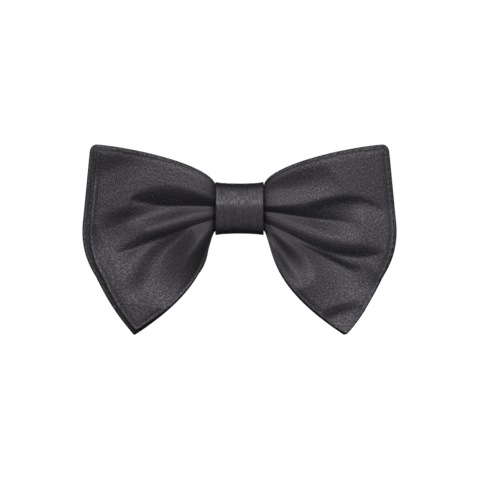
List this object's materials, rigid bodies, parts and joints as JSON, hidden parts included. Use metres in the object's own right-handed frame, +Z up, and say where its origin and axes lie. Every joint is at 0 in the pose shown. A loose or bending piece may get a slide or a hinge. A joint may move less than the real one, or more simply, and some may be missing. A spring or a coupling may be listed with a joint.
{
  "type": "clip-on bow tie",
  "caption": "Pre-tied dress bow tie of two stacked, pleated satin blanks gathered by a wrapped knot, with a spring-jawed collar clip behind it.",
  "frame": {"origin": "middle of the clip plate's rear bearing face, level with the middle of the knot", "axes": "+X to the viewer's right along the bow, +Y from the front of the bow towards the wearer's collar, +Z up as worn"},
  "size_m": [0.1194, 0.0232, 0.0724],
  "materials": {
    "satin": "charcoal satin",
    "lining": "black woven interlining",
    "thread": "dark sewing thread",
    "clip_steel": "nickel plated, lightly worn",
    "spring_steel": "drawn wire",
    "grip_rubber": "ribbed, matt"
  },
  "bodies": {
    "root": {"front_face_panel": "satin", "front_interlining": "lining", "front_back_panel": "satin", "rear_face_panel": "satin", "rear_interlining": "lining", "rear_back_panel": "satin", "waist_binding_thread": "thread", "knot_wrap": "satin", "knot_padding": "lining", "knot_closing_stitches": "thread", "clip_plate": "clip_steel", "left_hinge_pin": "clip_steel", "right_hinge_pin": "clip_steel", "left_torsion_spring": "spring_steel", "right_torsion_spring": "spring_steel", "left_grip_pad": "grip_rubber", "right_grip_pad": "grip_rubber"},
    "left_jaw": {"left_jaw": "clip_steel"},
    "right_jaw": {"right_jaw": "clip_steel"}
  },
  "joints": [
    {"name": "left_jaw_hinge", "type": "hinge", "parent": "root", "child": "left_jaw", "pos_m": [-0.0145, 0.0029, 0], "axis": [0, 0, -1], "range_deg": [0, 25], "stiffness_Nm_per_rad": 0.05, "springref_deg": -28.65, "deforming": ["left_torsion_spring"]},
    {"name": "right_jaw_hinge", "type": "hinge", "parent": "root", "child": "right_jaw", "pos_m": [0.0145, 0.0029, 0], "axis": [0, 0, 1], "range_deg": [0, 25], "stiffness_Nm_per_rad": 0.05, "springref_deg": -28.65, "deforming": ["right_torsion_spring"]}
  ]
}
